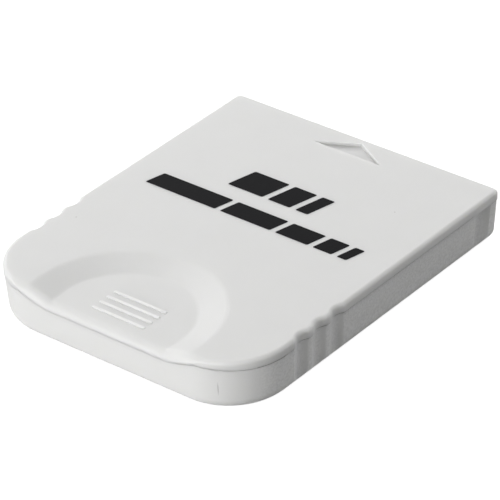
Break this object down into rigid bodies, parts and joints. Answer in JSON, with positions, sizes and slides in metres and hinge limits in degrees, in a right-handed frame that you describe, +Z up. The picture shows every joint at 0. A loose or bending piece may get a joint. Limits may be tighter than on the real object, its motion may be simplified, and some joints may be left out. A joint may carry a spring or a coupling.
{
  "type": "console memory card",
  "caption": "Flat plug-in memory card with a ribbed thumb recess, scalloped grip sides, an insertion arrow and a contact window, its moulded shells closed over a circuit board.",
  "frame": {"origin": "centre of the flat underside, at the middle of the card's length and width", "axes": "+Y along the card, the way it slides into its slot; +Z up from the underside to the face with the thumb recess; +X to the right of that"},
  "size_m": [0.035, 0.043, 0.006],
  "materials": {
    "case_plastic": "white moulded plastic, satin with a fine grain",
    "print_ink": "pad-printed black ink, matte",
    "board_laminate": "green solder resist over glass laminate",
    "contact_gold": "thin gold plate, satin",
    "chip_epoxy": "black moulding epoxy, matte",
    "lead_tin": "tin plated",
    "capacitor_ceramic": "tan ceramic with tinned ends",
    "resistor_film": "black glaze with tinned ends"
  },
  "bodies": {
    "root": {"top_shell": "case_plastic", "bottom_shell": "case_plastic", "circuit_board": "board_laminate", "memory_chip": "chip_epoxy", "memory_chip_leads": "lead_tin", "contact_pad_01": "contact_gold", "contact_pad_02": "contact_gold", "contact_pad_03": "contact_gold", "contact_pad_04": "contact_gold", "contact_pad_05": "contact_gold", "contact_pad_06": "contact_gold", "contact_pad_07": "contact_gold", "contact_pad_08": "contact_gold", "contact_pad_09": "contact_gold", "contact_pad_10": "contact_gold", "contact_pad_11": "contact_gold", "contact_pad_12": "contact_gold", "capacitor_1": "capacitor_ceramic", "capacitor_2": "capacitor_ceramic", "capacitor_3": "capacitor_ceramic", "resistor_1": "resistor_film", "resistor_2": "resistor_film", "resistor_3": "resistor_film"}
  },
  "joints": []
}
